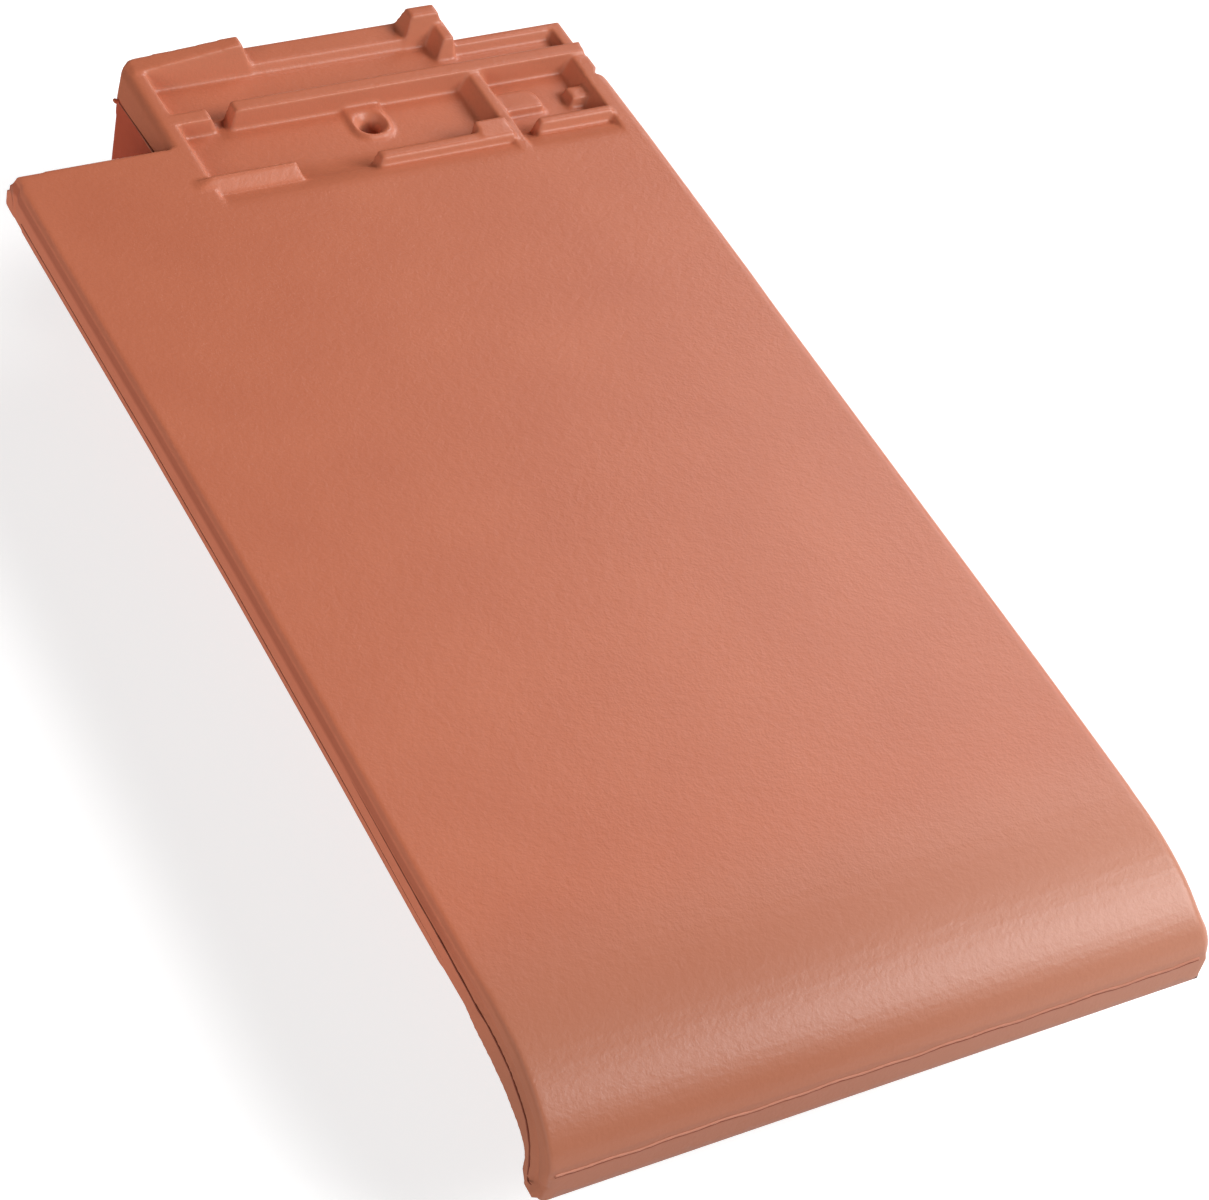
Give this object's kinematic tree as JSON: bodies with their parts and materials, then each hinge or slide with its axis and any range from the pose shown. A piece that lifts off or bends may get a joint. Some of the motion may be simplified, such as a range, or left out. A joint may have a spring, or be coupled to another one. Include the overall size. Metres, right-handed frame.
{
  "type": "clay verge roof tile",
  "caption": "Flat interlocking clay tile for the verge of a pitched roof, with a rounded nose, a side flap and a nail hole in its recessed head.",
  "frame": {"origin": "middle of the tile's length and width, level with the lower edge of the flap, which lies on the floor", "axes": "+Y up the roof slope from the nose to the head, along the longest side; +X across the tile, from the drip lip to the cover flange; +Z out of the deck"},
  "size_m": [0.2434, 0.4786, 0.0695],
  "materials": {
    "terracotta": "unglazed fired clay, matt, pressed smooth"
  },
  "bodies": {
    "root": {"verge_tile": "terracotta"}
  },
  "joints": []
}
